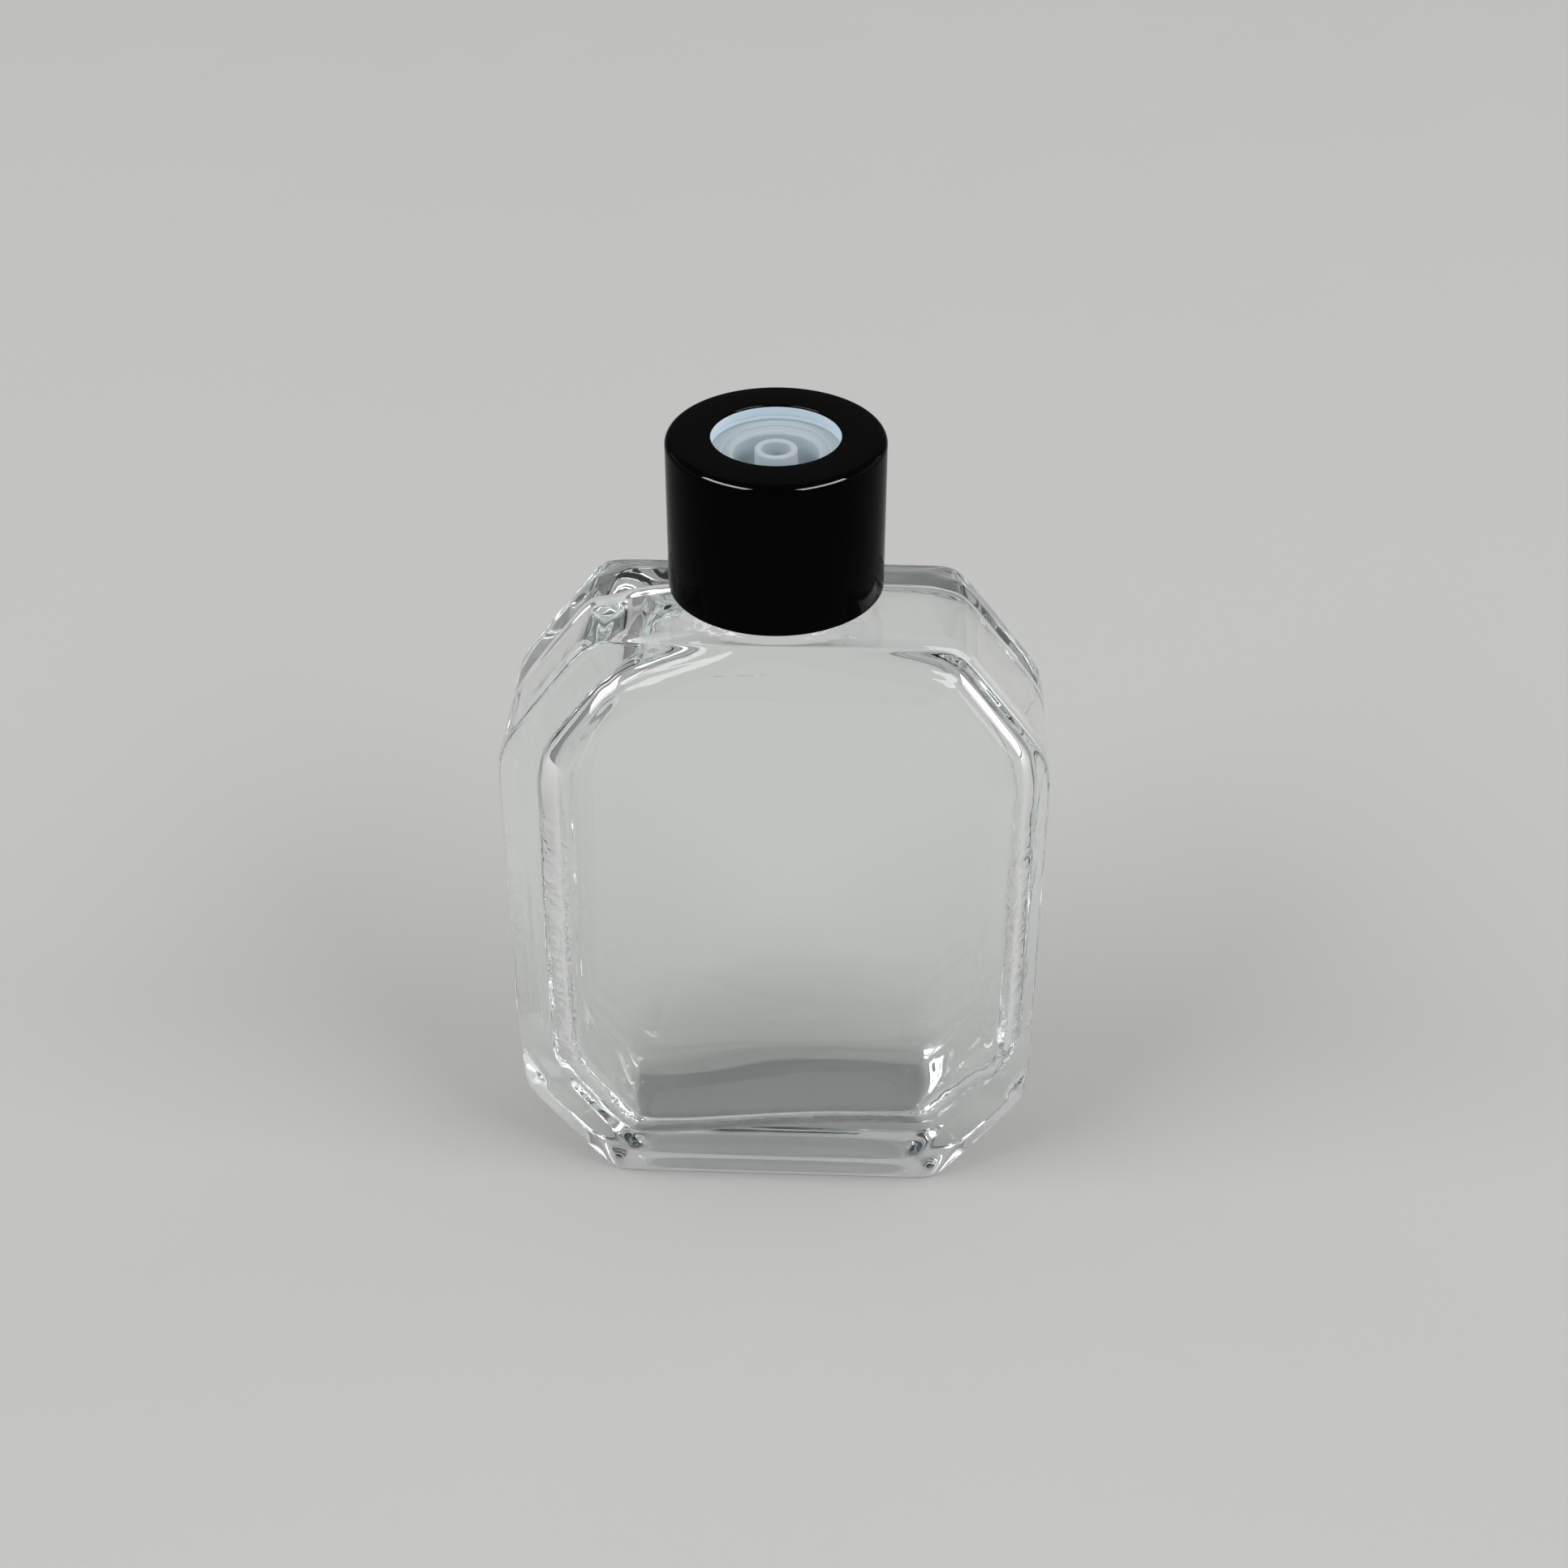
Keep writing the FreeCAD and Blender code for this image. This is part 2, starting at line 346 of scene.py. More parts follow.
def lower_part(points):
    """1 in the straight part of the flask and below it, fading to 0 towards the shoulder."""
    return np.clip((RIPPLE_TOP_Z - points[:, 2]) / RIPPLE_FADE, 0, 1)


def gentle_wave(points):
    """A slow uneven wave over space, between about -1 and 1: three crossed sines."""
    x, y, z = points.T
    one = np.sin(0.21 * x + 0.13 * z + 0.4)
    two = np.sin(0.17 * z - 0.24 * y + 1.9)
    three = np.sin(0.11 * x - 0.31 * y + 0.09 * z + 3.1)
    return (one + two + three) / 3


def floor_wave(points):
    """One slow sine from side to side, between -1 and 1."""
    return np.sin(0.12 * points[:, 0] + 0.5)


def short_wave(points):
    """An uneven ripple over space, between about -1 and 1: three crossed shorter sines."""
    x, y, z = points.T
    one = np.sin(0.53 * x + 0.71 * z + 0.5 * y + 0.3)
    two = np.sin(0.94 * z - 0.66 * y + 1.1)
    three = np.sin(0.82 * x - 0.47 * z + 0.9 * y + 2.2)
    return (one + two + three) / 3


def thread_ridge(angle, z, start_z):
    """Height of a rounded helical ridge: a bell over the distance from the nearest turn,
    faded out at both ends of the thread."""
    climb = (z - start_z) / THREAD_PITCH - angle / TURN
    turn = np.round(climb)
    place = turn + angle / TURN
    off = (climb - turn) * THREAD_PITCH / THREAD_WIDTH
    first_end = np.clip(place * THREAD_ENTRY, 0, 1)
    last_end = np.clip((THREAD_TURNS - place) * THREAD_ENTRY, 0, 1)
    return THREAD_HEIGHT * (first_end * last_end) * np.exp(-(2 * off) ** 4)


def flask_skin(outlines, depths, solid, zone, neck_radius, blend, spread, neck_rows_z):
    """One skin of the flask, outside or chamber: rings of the outline run from the front
    face over the bevel and the girdle to the back face, a rim of rings leads from the top
    facet to the neck, and rings climb the neck. Every point then slides down the slope of
    the softened solid until it lies on it. Below the neck the skin spreads into a funnel by
    the given shares along x and y. Returns points, faces and the top ring."""
    face_outline, girdle_outline = outlines
    girdle_y, face_y = depths
    lengths = np.linalg.norm(np.roll(girdle_outline, -1, 0) - girdle_outline, axis=1)
    knots = [edge_knots(length, zone, rows)[:-1] for length, rows in zip(lengths, SIDE_ROWS)]
    edge = np.concatenate([np.full(len(k), i) for i, k in enumerate(knots)])
    share = np.concatenate(knots)[:, None]

    def ring(outline, y):
        flat = outline[edge] * (1 - share) + np.roll(outline, -1, 0)[edge] * share
        return np.stack([flat[:, 0], np.full(len(flat), y), flat[:, 1]], 1)

    middle = face_outline.mean(0)
    apothem = np.linalg.norm(face_outline - middle, axis=1).min()
    near_edge = 1 - edge_knots(apothem, zone, 0)[6:0:-1]
    face_scales = np.linspace(FACE_EYE, near_edge[0], FACE_ROWS)[:-1]
    face_scales = np.concatenate([face_scales, near_edge])
    bevel_length = math.hypot(face_outline[1, 1] - girdle_outline[1, 1], face_y - girdle_y)
    bevel_steps = edge_knots(bevel_length, min(zone, bevel_length / 2.2), BEVEL_ROWS)
    girdle_steps = edge_knots(2 * girdle_y, zone, GIRDLE_ROWS)
    rings = [ring(middle + (face_outline - middle) * s, -face_y) for s in face_scales]
    for step in bevel_steps:
        outline = face_outline + (girdle_outline - face_outline) * step
        rings.append(ring(outline, -face_y + (face_y - girdle_y) * step))
    first_girdle = len(rings) - 1
    rings += [ring(girdle_outline, -girdle_y + 2 * girdle_y * step) for step in girdle_steps[1:-1]]
    last_girdle = len(rings)
    mirrored = [row * [1, -1, 1] for row in reversed(rings[: first_girdle + 1])]
    rings += mirrored
    belt = np.stack(rings)
    ring_count, around = belt.shape[:2]
    numbers = np.arange(ring_count * around).reshape(ring_count, around)

    top_count = len(knots[0])
    belt_faces = strip(numbers).reshape(ring_count - 1, around, 4)
    keep = np.ones((ring_count - 1, around), bool)
    keep[first_girdle:last_girdle, :top_count] = False
    poles = np.array([[middle[0], -face_y, middle[1]], [middle[0], face_y, middle[1]]])
    pole_numbers = ring_count * around + np.arange(2)

    def fan(row, pole):
        return np.stack([np.full(around, pole), np.roll(row, -1), row], 1)

    front_fan = fan(numbers[0], pole_numbers[0])
    back_fan = fan(numbers[-1], pole_numbers[1])[:, ::-1]

    rim = np.concatenate([
        numbers[first_girdle, :top_count],
        numbers[first_girdle:last_girdle, top_count],
        numbers[last_girdle, 1 : top_count + 1][::-1],
        numbers[first_girdle + 1 : last_girdle + 1, 0][::-1],
    ])
    flat_points = belt.reshape(-1, 3)
    rim_points = flat_points[rim]
    rim_count = len(rim)
    first_angle = math.atan2(rim_points[0, 1], rim_points[0, 0])
    angles = first_angle + TURN * np.arange(rim_count) / rim_count
    circle = np.stack([np.cos(angles), np.sin(angles), np.zeros(rim_count)], 1) * neck_radius
    root_z = neck_rows_z[0]
    steps = edge_knots(1.0, CLIMB_ZONE, CLIMB_ROWS)[1:-1]
    steps = np.concatenate([steps, [1.0]])[:, None, None]
    climb_rows = rim_points * (1 - steps) + (circle + [0, 0, root_z]) * steps
    rim_z = rim_points[:, 2]
    climb_rows[..., 2] = rim_z + (root_z - rim_z) * steps[..., 0] ** 4
    neck_rows = circle + np.array([0, 0, 1.0]) * neck_rows_z[1:, None, None]
    extra = np.concatenate([climb_rows, neck_rows])
    first_extra = ring_count * around + 2
    extra_numbers = first_extra + np.arange(extra.shape[0] * rim_count).reshape(-1, rim_count)
    points = np.concatenate([flat_points, poles, extra.reshape(-1, 3)])

    cone_z = rim_z.mean() - blend / 2
    for _ in range(SLIDES):
        height, slope = solid(points)
        fall = ease((FUNNEL_TOP_Z - points[:, 2]) / FUNNEL_LENGTH)
        squeeze = 1 - fall[:, None] * (*spread, 1)
        squeeze[:, 2] = 0
        radius = np.linalg.norm(points * squeeze, axis=1)
        spoke = points * squeeze ** 2 / np.maximum(radius, 1e-6)[:, None]
        below = np.maximum(cone_z - points[:, 2], 0)
        spoke[:, 2] = -np.sign(below)
        height, slope = soft_union(height, slope, radius - neck_radius + below, spoke, blend)
        points = points - (height / np.einsum("ij,ij->i", slope, slope))[:, None] * slope
    climb_faces = strip(np.concatenate([rim[None], extra_numbers]))
    return points, [belt_faces[keep], front_fan, back_fan, climb_faces], extra_numbers[-1]


def wall_relief(mesh, points):
    """Share of the short relief at every point: little on the flat side walls, all of it
    where they turn to the front and back, none on the faces, the floor and the shoulder."""
    facing = np.empty(len(points) * 3)
    mesh.vertex_normals.foreach_get("vector", facing)
    to_face, to_floor = np.abs(facing[1::3]), np.abs(facing[2::3])
    turning = 0.15 + 0.85 * ease((to_face - 0.1) / 0.3)
    off_face = ease((0.97 - to_face) / 0.12)
    off_floor = ease((0.75 - to_floor) / 0.3)
    return turning * off_face * off_floor * ease((RELIEF_TOP_Z - points[:, 2]) / RELIEF_FADE)


def glass_bottle(material):
    """Outside skin, lip and chamber skin, joined into one closed surface."""
    normals, reaches = body_outline()
    girdle = outline_corners(normals, reaches)
    bevel = outline_corners(normals, reaches - BEVEL_WIDTH)
    neck_top_z = LIP_Z - LIP_RADIUS
    neck_foot_z = SHOULDER_Z + 4.0
    outer_rows = np.linspace(neck_foot_z, neck_top_z, OUTER_NECK_ROWS)
    outer_rows = np.concatenate([[SHOULDER_Z + 3.0], outer_rows])
    outer, outer_faces, outer_top = flask_skin(
        (bevel, girdle), (GIRDLE_Y, FACE_Y), cut_body, OUTER_ZONE, NECK_RADIUS, ROOT_BLEND,
        (0.0, 0.0), outer_rows,
    )
    on_neck = outer[:, 2] > neck_foot_z + 0.5
    angle = np.arctan2(outer[:, 1], outer[:, 0])
    ridge = np.where(on_neck, thread_ridge(angle, outer[:, 2], THREAD_START_Z), 0)
    outer[:, :2] *= 1 + ridge[:, None] / NECK_RADIUS
    along = np.clip(1 - (outer[:, 0] / HOLLOW_HALF_X) ** 2, 0, 1)
    across = np.clip(1 - (outer[:, 1] / HOLLOW_HALF_Y) ** 2, 0, 1)
    hollow = np.where(outer[:, 2] < SOLE_Z, along * across, 0)
    outer[:, 2] += BASE_HOLLOW * hollow

    normals, reaches = room_outline()
    room = np.delete(outline_corners(normals, reaches), 1, 0)
    inset = ROOM_EDGE_RADIUS / 3
    room_face = np.delete(outline_corners(normals, reaches - inset), 1, 0)
    room_face_y = FACE_Y - FACE_WALL
    room_side_y = room_face_y - inset
    inner_rows = np.linspace(SHOULDER_Z + 3.0, neck_top_z, ROOM_NECK_ROWS)
    inner_rows = np.concatenate([[SHOULDER_Z + 2.0], inner_rows])
    inner, inner_faces, inner_top = flask_skin(
        (room_face, room), (room_side_y, room_face_y), blown_room, ROOM_ZONE, BORE_RADIUS,
        THROAT_BLEND, FUNNEL_SPREAD, inner_rows,
    )

    bend = np.linspace(0, math.pi / 2, LIP_STEPS)[1:]
    arc_r, arc_z = LIP_RADIUS * (1 - np.cos(bend)), LIP_RADIUS * np.sin(bend)
    lip_r = np.concatenate([NECK_RADIUS - arc_r, BORE_RADIUS + arc_r[::-1]])
    lip_z = neck_top_z + np.concatenate([arc_z, arc_z[::-1]])
    ring_points = outer[outer_top]
    spoke = ring_points[:, :2] / np.linalg.norm(ring_points[:, :2], axis=1, keepdims=True)
    lip = np.concatenate([
        lip_r[:, None, None] * spoke,
        np.broadcast_to(lip_z[:, None, None], (len(lip_z), len(spoke), 1)),
    ], 2)
    inner_first = len(outer)
    lip_first = inner_first + len(inner)
    lip_numbers = lip_first + np.arange(lip.shape[0] * lip.shape[1]).reshape(lip.shape[:2])
    lip_rows = np.concatenate([outer_top[None], lip_numbers, inner_top[None] + inner_first])
    points = np.concatenate([outer, inner, lip.reshape(-1, 3)])
    faces = outer_faces + [group[:, ::-1] + inner_first for group in inner_faces] + [strip(lip_rows)]
    flask = make_object("glass_flask", points, faces, material, "bottle", "glass_bottle")
    side_wall = wall_relief(flask.data, points)
    side_wall[:inner_first] *= OUTER_RELIEF
    under_base = np.concatenate([hollow, np.zeros(len(points) - inner_first)])
    for name, values in (("side_wall", side_wall), ("under_base", under_base)):
        flask.data.attributes.new(name, "FLOAT", "POINT").data.foreach_set("value", values)
    return flask


# Turned pieces

def rounded_profile(corners, steps=6):
    """A closed outline through (radius, height, rounding) corners, each corner replaced by
    an arc that touches both of its sides."""
    corners = np.array(corners, float)
    here, rounding = corners[:, :2], corners[:, 2]
    back = np.roll(here, 1, 0) - here
    ahead = np.roll(here, -1, 0) - here
    back = back / np.linalg.norm(back, axis=1, keepdims=True)
    ahead = ahead / np.linalg.norm(ahead, axis=1, keepdims=True)
    half = np.arccos(np.clip(np.einsum("ij,ij->i", back, ahead), -1, 1)) / 2
    reach = rounding / np.tan(half)
    middle_way = back + ahead
    middle_way = middle_way / np.linalg.norm(middle_way, axis=1, keepdims=True)
    centre = here + middle_way * (rounding / np.sin(half))[:, None]
    first = here + back * reach[:, None] - centre
    last = here + ahead * reach[:, None] - centre
    sweep = (math.pi - 2 * half)[:, None]
    share = np.linspace(0, 1, steps)[None]
    spread = np.maximum(np.sin(sweep), 1e-9)
    weight_a = np.sin((1 - share) * sweep) / spread
    weight_b = np.sin(share * sweep) / spread
    arc = centre[:, None] + weight_a[..., None] * first[:, None]
    arc = arc + weight_b[..., None] * last[:, None]
    return arc.reshape(-1, 2)


def densified(outline, step):
    """The same closed outline with points added so that none are further apart than step."""
    ahead = np.roll(outline, -1, 0)
    length = np.linalg.norm(ahead - outline, axis=1)
    parts = np.maximum(np.ceil(length / step).astype(int), 1)
    index = np.repeat(np.arange(len(outline)), parts)
    place = np.arange(parts.sum()) - np.repeat(np.cumsum(parts) - parts, parts)
    share = (place / parts[index])[:, None]
    return outline[index] * (1 - share) + ahead[index] * share


def turned(outline, around, ridge=None):
    """A closed outline carried once round the Z axis. A ridge adds to the radius as a
    function of radius, angle and height."""
    angle = TURN * np.arange(around) / around
    radius = np.repeat(outline[:, :1], around, 1)
    height = np.repeat(outline[:, 1:], around, 1)
    angles = np.repeat(angle[None], len(outline), 0)
    if ridge is not None:
        radius = radius + ridge(radius, angles, height)
    points = np.stack([radius * np.cos(angles), radius * np.sin(angles), height], -1)
    numbers = np.arange(points.shape[0] * around).reshape(-1, around)
    rows = np.concatenate([numbers, numbers[:1]])
    return points.reshape(-1, 3), [strip(rows)[:, ::-1]]


def collar_shell(material):
    """A drawn metal cup: rounded shoulder, rolled mouth edge and an eased lower rim."""
    top, bottom = SHELL_HIGH[2], SHELL_LOW[2]
    inner = SHELL_RADIUS - SHELL_WALL
    outline = rounded_profile([
        (MOUTH_RADIUS, top, 0.12),
        (MOUTH_RADIUS, top - SHELL_TOP, 0.05),
        (inner, top - SHELL_TOP, 0.65),
        (inner, bottom, 0.12),
        (SHELL_RADIUS, bottom, 0.17),
        (SHELL_RADIUS, top, 1.0),
    ], steps=10)
    points, faces = turned(outline, SHELL_AROUND)
    return make_object("collar_shell_skin", points, faces, material, "collar", "collar_shell")


def collar_liner(material):
    """A moulded sleeve with an inward flange and a helical thread ridge in its bore."""
    top, bottom = LINER_HIGH[2], LINER_LOW[2]
    flange_z = WASHER_HIGH[2]
    outline = rounded_profile([
        (MOUTH_RADIUS, top, 0.12),
        (MOUTH_RADIUS, flange_z, 0.12),
        (LINER_BORE, flange_z, 0.2),
        (LINER_BORE, bottom, 0.5),
        (LINER_RADIUS, bottom, 0.2),
        (LINER_RADIUS, top, 0.68),
    ])
    half_pitch = THREAD_PITCH / 2

    def ridge(radius, angle, height):
        on_bore = np.isclose(radius, LINER_BORE, rtol=0, atol=0.01)
        return np.where(on_bore, -thread_ridge(angle, height, THREAD_START_Z - half_pitch), 0)

    points, faces = turned(densified(outline, LINER_STEP), LINER_AROUND, ridge)
    return make_object("collar_liner_sleeve", points, faces, material, "collar", "collar_liner")


def sealing_washer(material):
    """A flat foam ring with pressed edges."""
    outline = rounded_profile([
        (MOUTH_RADIUS, WASHER_HIGH[2], 0.12),
        (MOUTH_RADIUS, WASHER_LOW[2], 0.2),
        (WASHER_HIGH[0], WASHER_LOW[2], 0.2),
        (WASHER_HIGH[0], WASHER_HIGH[2], 0.12),
    ])
    points, faces = turned(outline, RING_AROUND)
    return make_object("foam_washer", points, faces, material, "seal", "sealing_washer")


def dispenser_insert(material):
    """A flange with a stepped well, a ribbed plug and an open spout with a rounded lip."""
    lip_z, plug_end = LIP_Z, INSERT_LOW[2]
    floor_z = WELL_Z - WELL_FLOOR
    tail_z = floor_z - SPOUT_TAIL
    rib_z = lip_z - RIB_DROP
    rib = [
        (PLUG_RADIUS, rib_z + RIB_HALF, 0.05),
        (BORE_RADIUS + RIB_GRIP, rib_z, 0.1),
        (PLUG_RADIUS, rib_z - RIB_HALF, 0.05),
    ]
    second_rib = [(radius, z - RIB_PITCH, rounding) for radius, z, rounding in rib]
    outline = rounded_profile([
        (FLANGE_RADIUS, FLANGE_TOP_Z, 0.2),
        (STEP_RADIUS, FLANGE_TOP_Z, 0.12),
        (STEP_RADIUS, STEP_Z, 0.12),
        (WELL_RADIUS, STEP_Z, 0.45),
        (WELL_RADIUS, WELL_Z, 0.6),
        (SPOUT_RADIUS, WELL_Z, 0.5),
        (SPOUT_RADIUS, INSERT_HIGH[2], 0.25),
        (SPOUT_BORE, INSERT_HIGH[2], 0.25),
        (SPOUT_BORE, tail_z, 0.1),
        (SPOUT_RADIUS, tail_z, 0.1),
        (SPOUT_RADIUS, floor_z, 0.3),
        (WELL_RADIUS, floor_z, 0.4),
        (WELL_RADIUS, plug_end, 0.15),
        (PLUG_RADIUS - PLUG_CHAMFER, plug_end, 0.15),
        (PLUG_RADIUS, plug_end + PLUG_CHAMFER, 0.2),
        *reversed(second_rib),
        *reversed(rib),
        (PLUG_RADIUS, lip_z, 0.1),
        (FLANGE_RADIUS, lip_z, 0.2),
    ])
    points, faces = turned(outline[::-1], RING_AROUND)
    return make_object("pouring_insert", points, faces, material, "bottle", "dispenser_insert")


# Materials

def new_material(name):
    """A node material and its principled shader."""
    material = bpy.data.materials.new(name)
    material.use_nodes = True
    return material, material.node_tree.nodes["Principled BSDF"]


def noise(material, scale, detail=3.0, roughness=0.5):
    """A noise pattern on Object coordinates; scale is in waves per metre."""
    nodes, links = material.node_tree.nodes, material.node_tree.links
    place = nodes.new("ShaderNodeTexCoord")
    pattern = nodes.new("ShaderNodeTexNoise")
    pattern.inputs["Scale"].default_value = scale
    pattern.inputs["Detail"].default_value = detail
    pattern.inputs["Roughness"].default_value = roughness
    links.new(place.outputs["Object"], pattern.inputs["Vector"])
    return pattern.outputs["Fac"]


def ramp(material, value, low, high, low_end=0.3, high_end=0.7):
    """Maps a pattern's value between two numbers."""
    node = material.node_tree.nodes.new("ShaderNodeMapRange")
    node.inputs["From Min"].default_value = low_end
    node.inputs["From Max"].default_value = high_end
    node.inputs["To Min"].default_value = low
    node.inputs["To Max"].default_value = high
    material.node_tree.links.new(value, node.inputs["Value"])
    return node.outputs["Result"]


def tint(material, value, low, high):
    """Mixes two colours by a pattern's value."""
    node = material.node_tree.nodes.new("ShaderNodeMix")
    node.data_type = "RGBA"
    node.inputs["A"].default_value = (*low, 1)
    node.inputs["B"].default_value = (*high, 1)
    material.node_tree.links.new(value, node.inputs["Factor"])
    return node.outputs["Result"]


def bump(material, shader, value, strength, distance):
    """Raises a pattern as relief; distance is in millimetres."""
    node = material.node_tree.nodes.new("ShaderNodeBump")
    node.inputs["Strength"].default_value = strength
    node.inputs["Distance"].default_value = distance * MM
    material.node_tree.links.new(value, node.inputs["Height"])
    material.node_tree.links.new(node.outputs["Normal"], shader.inputs["Normal"])


def clear_glass():
    """Clear glass, wavy as blown: a slow relief all over and a short one, strongest where
    the chamber's side walls turn, as the side_wall attribute says. The hollow under the
    base is satin."""
    material, shader = new_material("clear_glass")
    nodes, links = material.node_tree.nodes, material.node_tree.links
    shader.inputs["Base Color"].default_value = (0.985, 0.995, 0.99, 1)
    shader.inputs["IOR"].default_value = 1.52
    shader.inputs["Transmission Weight"].default_value = 1.0
    walls = nodes.new("ShaderNodeAttribute")
    walls.attribute_name = "side_wall"
    short = nodes.new("ShaderNodeMath")
    short.operation = "MULTIPLY"
    links.new(walls.outputs["Fac"], short.inputs[0])
    links.new(noise(material, 800.0, 2.0), short.inputs[1])
    relief = nodes.new("ShaderNodeMath")
    relief.operation = "MULTIPLY_ADD"
    relief.inputs[1].default_value = SHORT_RELIEF
    links.new(short.outputs["Value"], relief.inputs[0])
    links.new(noise(material, 90.0, 2.0), relief.inputs[2])
    bump(material, shader, relief.outputs["Value"], 0.3, 0.02)
    base = nodes.new("ShaderNodeAttribute")
    base.attribute_name = "under_base"
    links.new(ramp(material, base.outputs["Fac"], 0.0, 0.5, 0.0, 0.2), shader.inputs["Roughness"])
    depth = nodes.new("ShaderNodeVolumeAbsorption")
    depth.inputs["Color"].default_value = (0.70, 0.88, 0.82, 1)
    depth.inputs["Density"].default_value = 3.0
    links.new(depth.outputs["Volume"], nodes["Material Output"].inputs["Volume"])
    return material


def black_lacquer():
    """Deep black gloss with a faint unevenness."""
    material, shader = new_material("black_lacquer")
    links = material.node_tree.links
    fine = noise(material, 900.0, 4.0, 0.6)
    black = tint(material, fine, (0.0008, 0.0008, 0.0007), (0.0016, 0.0015, 0.0014))
    links.new(black, shader.inputs["Base Color"])
    links.new(ramp(material, noise(material, 260.0, 5.0), 0.02, 0.05), shader.inputs["Roughness"])
    shader.inputs["Specular IOR Level"].default_value = 0.012
    bump(material, shader, noise(material, 420.0, 2.0), 0.08, 0.02)
    return material


def white_liner():
    """Bluish white moulded plastic, a little translucent."""
    material, shader = new_material("white_liner")
    links = material.node_tree.links
    soft = noise(material, 300.0, 3.0)
    white = tint(material, soft, (0.65, 0.76, 0.85), (0.69, 0.80, 0.89))
    links.new(white, shader.inputs["Base Color"])
    links.new(ramp(material, soft, 0.45, 0.55), shader.inputs["Roughness"])
    shader.inputs["Specular IOR Level"].default_value = 0.2
    shader.inputs["Subsurface Weight"].default_value = 0.3
    shader.inputs["Subsurface Scale"].default_value = 0.8 * MM
    bump(material, shader, noise(material, 1500.0, 2.0), 0.1, 0.02)
    return material


def translucent_insert():
    """Milky natural plastic that lets some light through."""
    material, shader = new_material("translucent_insert")
    links = material.node_tree.links
    cloud = noise(material, 350.0, 4.0)
    milky = tint(material, cloud, (0.55, 0.64, 0.68), (0.61, 0.70, 0.74))
    links.new(milky, shader.inputs["Base Color"])
    links.new(ramp(material, cloud, 0.5, 0.6), shader.inputs["Roughness"])
    shader.inputs["Specular IOR Level"].default_value = 0.1
    shader.inputs["IOR"].default_value = 1.51
    shader.inputs["Transmission Weight"].default_value = 0.2
    shader.inputs["Subsurface Weight"].default_value = 0.3
    shader.inputs["Subsurface Scale"].default_value = 1.2 * MM
    bump(material, shader, noise(material, 1200.0, 2.0), 0.12, 0.02)
    return material


def foam_washer():
    """Matt foam with fine cells."""
    material, shader = new_material("foam_washer")
    links = material.node_tree.links
    cells = noise(material, 2600.0, 3.0)
    white = tint(material, cells, (0.62, 0.71, 0.79), (0.68, 0.76, 0.83))
    links.new(white, shader.inputs["Base Color"])
    links.new(ramp(material, cells, 0.5, 0.75), shader.inputs["Roughness"])
    bump(material, shader, cells, 0.35, 0.05)
    return material


# Stage

LAMP_AIM = 0, 0, 60


def studio_floor():
    """A wide pale table top with a faint gloss; lengths in metres."""
    reach = 3.0
    corners = reach * np.array([[-1, -1, 0], [1, -1, 0], [1, 1, 0], [-1, 1, 0]])
    mesh = bpy.data.meshes.new("table_top")
    mesh.from_pydata(corners.tolist(), [], [[0, 1, 2, 3]])
    material, shader = new_material("pale_table")
    links = material.node_tree.links
    faint = noise(material, 3.0, 2.0)
    pale = tint(material, faint, (0.565, 0.565, 0.555), (0.585, 0.585, 0.575))
    links.new(pale, shader.inputs["Base Color"])
    links.new(ramp(material, noise(material, 40.0, 3.0), 0.42, 0.5), shader.inputs["Roughness"])
    shader.inputs["Specular IOR Level"].default_value = 0.15
    mesh.materials.append(material)
    floor = bpy.data.objects.new("table_top", mesh)
    bpy.context.scene.collection.objects.link(floor)


def lamp(name, place, width, height, power):
    """A rectangular soft lamp at a place, facing the bottle; lengths in millimetres."""
    data = bpy.data.lights.new(name, "AREA")
    data.shape = "RECTANGLE"
    data.size = width * MM
    data.size_y = height * MM
    data.energy = power
    light = bpy.data.objects.new(name, data)
    bpy.context.scene.collection.objects.link(light)
    light.location = np.array(place, float) * MM
    x, y, z = np.array(LAMP_AIM, float) - np.array(place, float)
    light.rotation_euler = (math.atan2(math.hypot(x, y), -z), 0, math.atan2(-x, y))
    return light


def soft_room():
    """A world that pales from the horizon upwards and looks even to the camera."""
    horizon, overhead, in_view = 0.2, 0.41, 0.45
    world = bpy.data.worlds.new("soft_room")
    world.use_nodes = True
    nodes, links = world.node_tree.nodes, world.node_tree.links
    way = nodes.new("ShaderNodeTexCoord")
    parts = nodes.new("ShaderNodeSeparateXYZ")
    links.new(way.outputs["Generated"], parts.inputs["Vector"])
    rise = nodes.new("ShaderNodeMapRange")
    rise.inputs["From Max"].default_value = 0.5
    rise.inputs["To Min"].default_value = horizon
    rise.inputs["To Max"].default_value = overhead
    links.new(parts.outputs["Z"], rise.inputs["Value"])
    path = nodes.new("ShaderNodeLightPath")
    seen = nodes.new("ShaderNodeMix")
    seen.inputs["B"].default_value = in_view
    links.new(path.outputs["Is Camera Ray"], seen.inputs["Factor"])
    links.new(rise.outputs["Result"], seen.inputs["A"])
    links.new(seen.outputs["Result"], nodes["Background"].inputs["Color"])
    return world


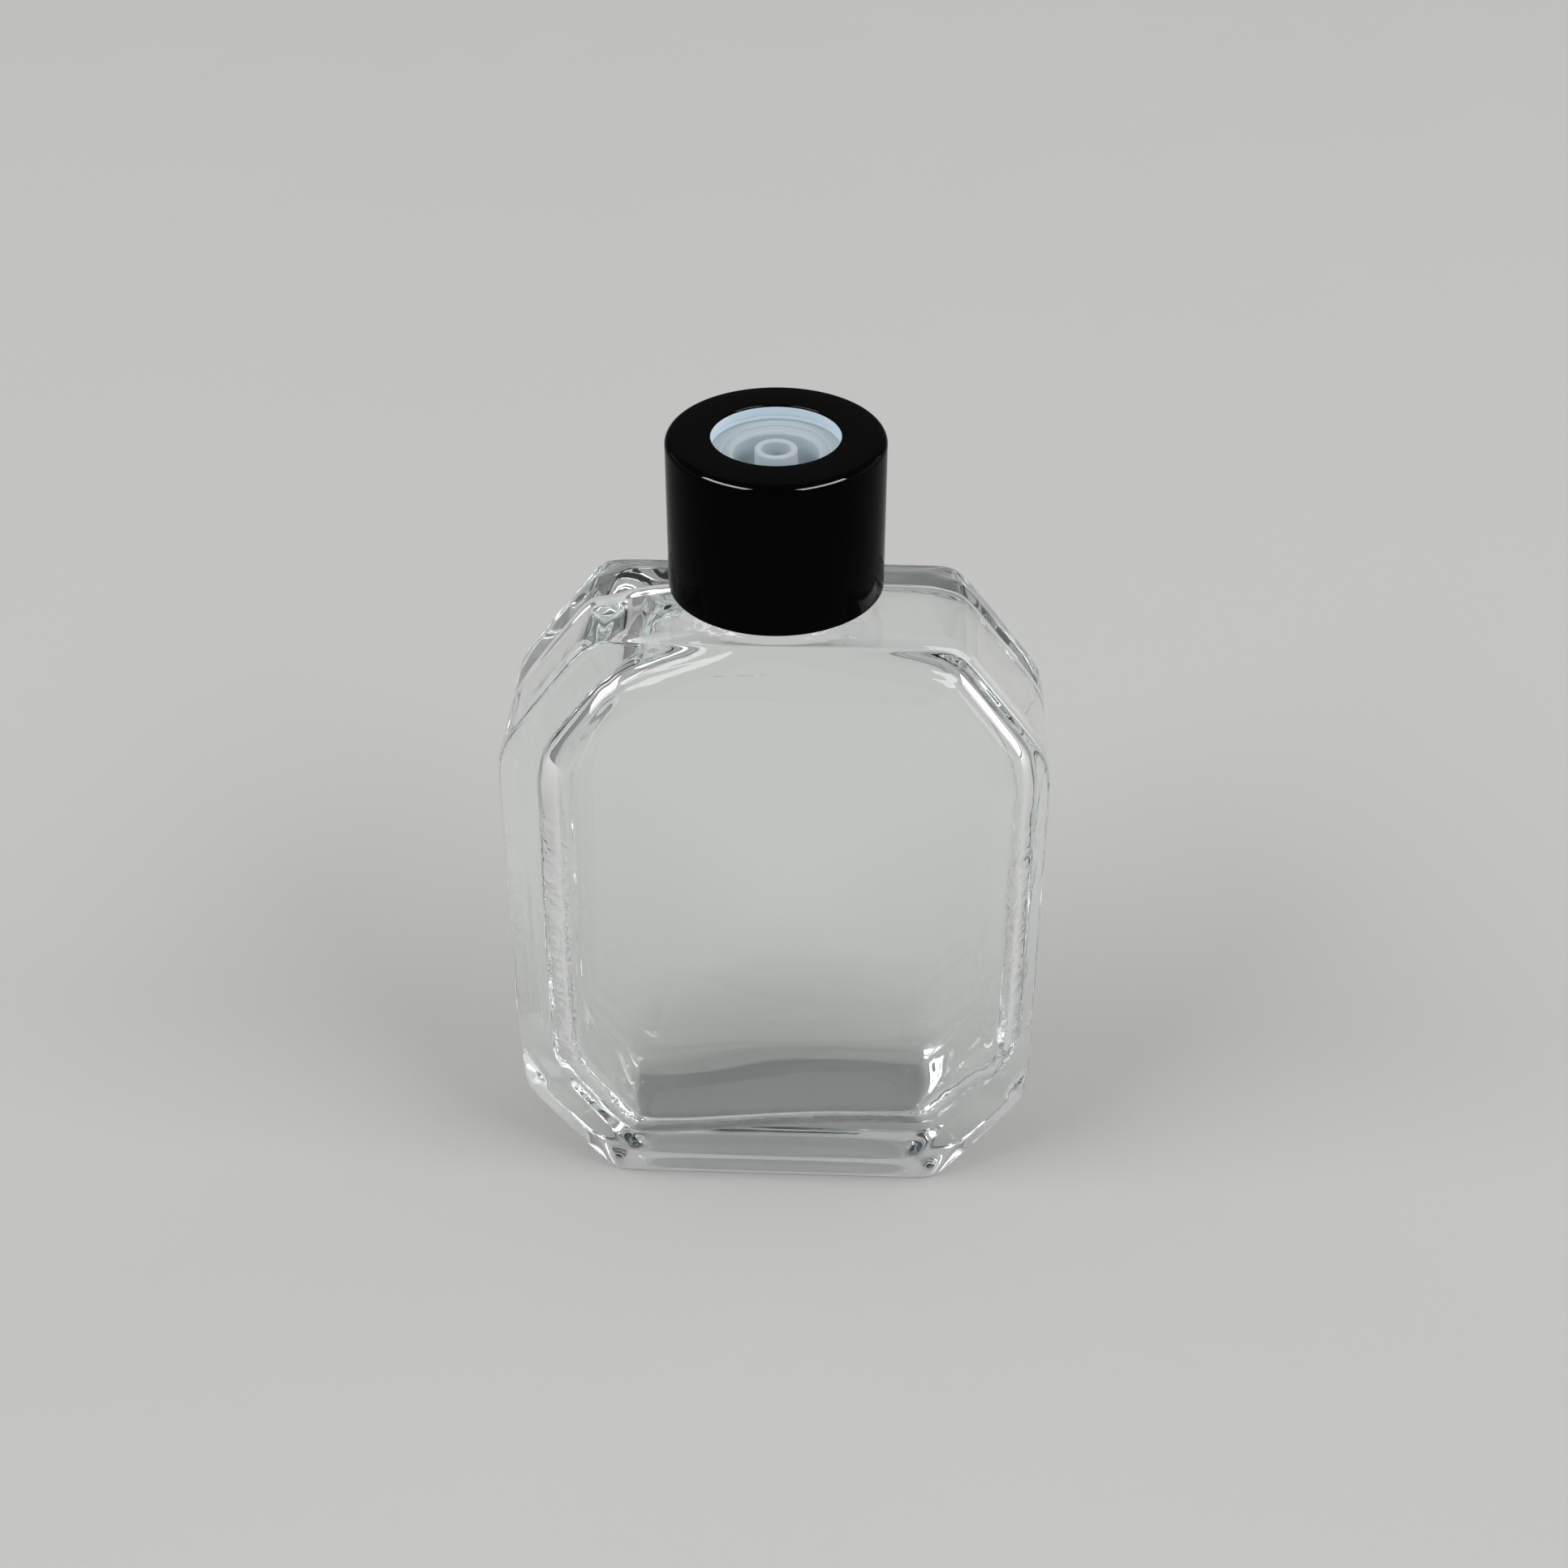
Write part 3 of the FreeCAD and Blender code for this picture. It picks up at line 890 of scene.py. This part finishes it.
def studio_light(shell):
    """A pale room, a wide soft lamp high in front on each side, a lower one further back on
    each side, and two that only put a glint on the collar's edge."""
    bpy.context.scene.world = soft_room()
    glossy = bpy.data.collections.new("glint_receivers")
    glossy.objects.link(shell)
    lamp("left_low_lamp", (-2350, 600, 800), 2400, 700, 10.0)
    lamp("right_low_lamp", (2350, 600, 620), 2400, 1100, 18.0)
    for side in (-1, 1):
        lamp("side_lamp", (side * 3340, -1930, 3480), 3600, 1800, 107.0)
        glint = lamp("side_glint", (side * 1550, -1050, 1660), 2000, 800, 1900.0)
        glint.light_linking.receiver_collection = glossy
        glint.visible_diffuse = False


def camera():
    """The photograph's view, from a fitted focal length, tilt and distance."""
    image_side = 1932
    focal_pixels = 3053.0
    tilt = math.radians(35.3)
    turn = math.radians(2.33)
    distance = 300.78
    collar_pixel = (956.2, 535.4)
    across = (collar_pixel[0] - image_side / 2) * distance / focal_pixels
    above = (image_side / 2 - collar_pixel[1]) * distance / focal_pixels
    flat = np.array([-across, -(above * math.sin(tilt) + distance * math.cos(tilt))])
    rise = distance * math.sin(tilt) - above * math.cos(tilt)
    spin = np.array([[math.cos(turn), -math.sin(turn)], [math.sin(turn), math.cos(turn)]])
    data = bpy.data.cameras.new("photo_camera")
    data.sensor_fit = "HORIZONTAL"
    data.sensor_width = 36.0
    data.lens = focal_pixels / image_side * data.sensor_width
    data.clip_start = 0.01
    eye = bpy.data.objects.new("photo_camera", data)
    bpy.context.scene.collection.objects.link(eye)
    eye.location = (*(spin @ flat * MM), (SHELL_HIGH[2] + rise) * MM)
    eye.rotation_euler = (math.pi / 2 - tilt, 0, turn)
    bpy.context.scene.camera = eye


glass_bottle(clear_glass())
dispenser_insert(translucent_insert())
sealing_washer(foam_washer())
collar_liner(white_liner())
shell = collar_shell(black_lacquer())
studio_floor()
studio_light(shell)
camera()

scene = bpy.context.scene
scene.view_settings.view_transform = "Standard"
scene.cycles.max_bounces = 32
scene.cycles.transmission_bounces = 32
scene.cycles.glossy_bounces = 16
